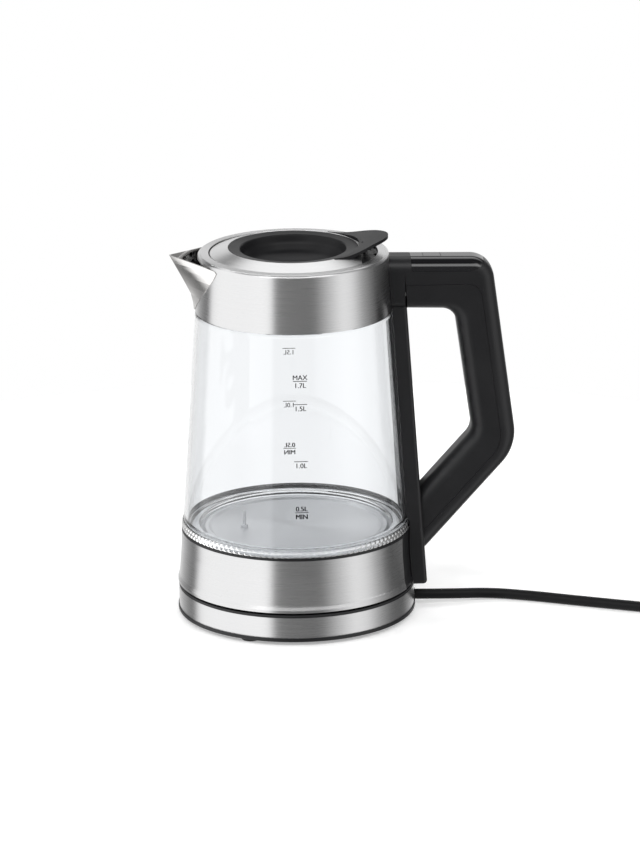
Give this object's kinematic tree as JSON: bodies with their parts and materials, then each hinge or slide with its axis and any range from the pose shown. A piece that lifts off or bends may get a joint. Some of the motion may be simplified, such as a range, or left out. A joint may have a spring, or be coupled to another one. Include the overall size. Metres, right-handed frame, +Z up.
{
  "type": "electric kettle",
  "caption": "Cordless glass jug kettle with steel skirt, collar and spout, angular black handle and lever lid, on a round power base with its lead.",
  "frame": {"origin": "on the base axis, where the feet touch the table", "axes": "+Z up along the base axis, +X towards the handle, -X towards the spout"},
  "size_m": [0.4228, 0.189, 0.2598],
  "materials": {
    "brushed_steel": "brushed round the axis, satin",
    "polished_steel": "polished stainless steel",
    "plate_steel": "fine satin stainless steel",
    "black_plastic": "fine matt black",
    "gloss_black": "high gloss black",
    "glass": "clear borosilicate glass",
    "clear_silicone": "clear, beaded",
    "silicone": "translucent grey silicone",
    "rubber_black": "matt black rubber",
    "brass": "plain",
    "aluminium": "cast",
    "screw_steel": "zinc plated",
    "circuit_board": "green board",
    "cord_black": "black sheath"
  },
  "bodies": {
    "base": {"base_bottom_cover": "black_plastic", "base_feet": "rubber_black", "base_band": "brushed_steel", "base_housing": "black_plastic", "base_screws": "screw_steel", "cord_grommet": "rubber_black", "cord_clamp": "black_plastic", "mains_wires": "cord_black", "base_connector": "black_plastic", "base_contacts": "brass", "power_cord": "cord_black", "cord_tail": "cord_black", "cord_coil": "cord_black", "plug_body": "rubber_black", "plug_pins": "screw_steel"},
    "coupler": {"coupler_body": "black_plastic", "coupler_contacts": "brass"},
    "jug": {"jug_bottom_cover": "black_plastic", "jug_frame": "black_plastic", "jug_skirt": "brushed_steel", "rear_panel": "black_plastic", "bottom_screws": "screw_steel", "heater_plate": "plate_steel", "plate_seal": "silicone", "temperature_probe": "plate_steel", "heating_element": "aluminium", "thermostat": "black_plastic", "glass_body": "glass", "glass_gasket": "clear_silicone", "collar": "brushed_steel", "collar_seal": "silicone", "spout": "polished_steel", "strainer": "plate_steel", "spine": "black_plastic", "spine_inset": "gloss_black", "handle_outer_shell": "black_plastic", "handle_inner_shell": "black_plastic", "control_panel": "gloss_black", "control_board": "circuit_board", "handle_screws": "screw_steel", "hinge_bracket": "black_plastic", "hinge_pin": "screw_steel"},
    "lid": {"lid_ring": "brushed_steel", "lid_bowl": "black_plastic", "lid_lever": "black_plastic", "lid_body": "black_plastic", "lid_seal": "silicone", "lid_inner_plate": "plate_steel", "lid_screws": "screw_steel"},
    "power_button": {"power_button": "gloss_black"}
  },
  "joints": [
    {"name": "jug_lift", "type": "slide", "parent": "base", "child": "coupler", "axis": [0, 0, 1], "range_m": [0, 0.06]},
    {"name": "jug_swivel", "type": "hinge", "parent": "coupler", "child": "jug", "pos_m": [0, 0, 0.021], "axis": [0, 0, 1], "continuous": true},
    {"name": "lid_hinge", "type": "hinge", "parent": "jug", "child": "lid", "pos_m": [0.055, 0, 0.245], "axis": [0, 1, 0], "range_deg": [0, 50]},
    {"name": "button_press", "type": "slide", "parent": "jug", "child": "power_button", "axis": [0, 0, -1], "range_m": [0, 0.0008], "stiffness_N_per_m": 800, "springref_m": -0.001}
  ]
}
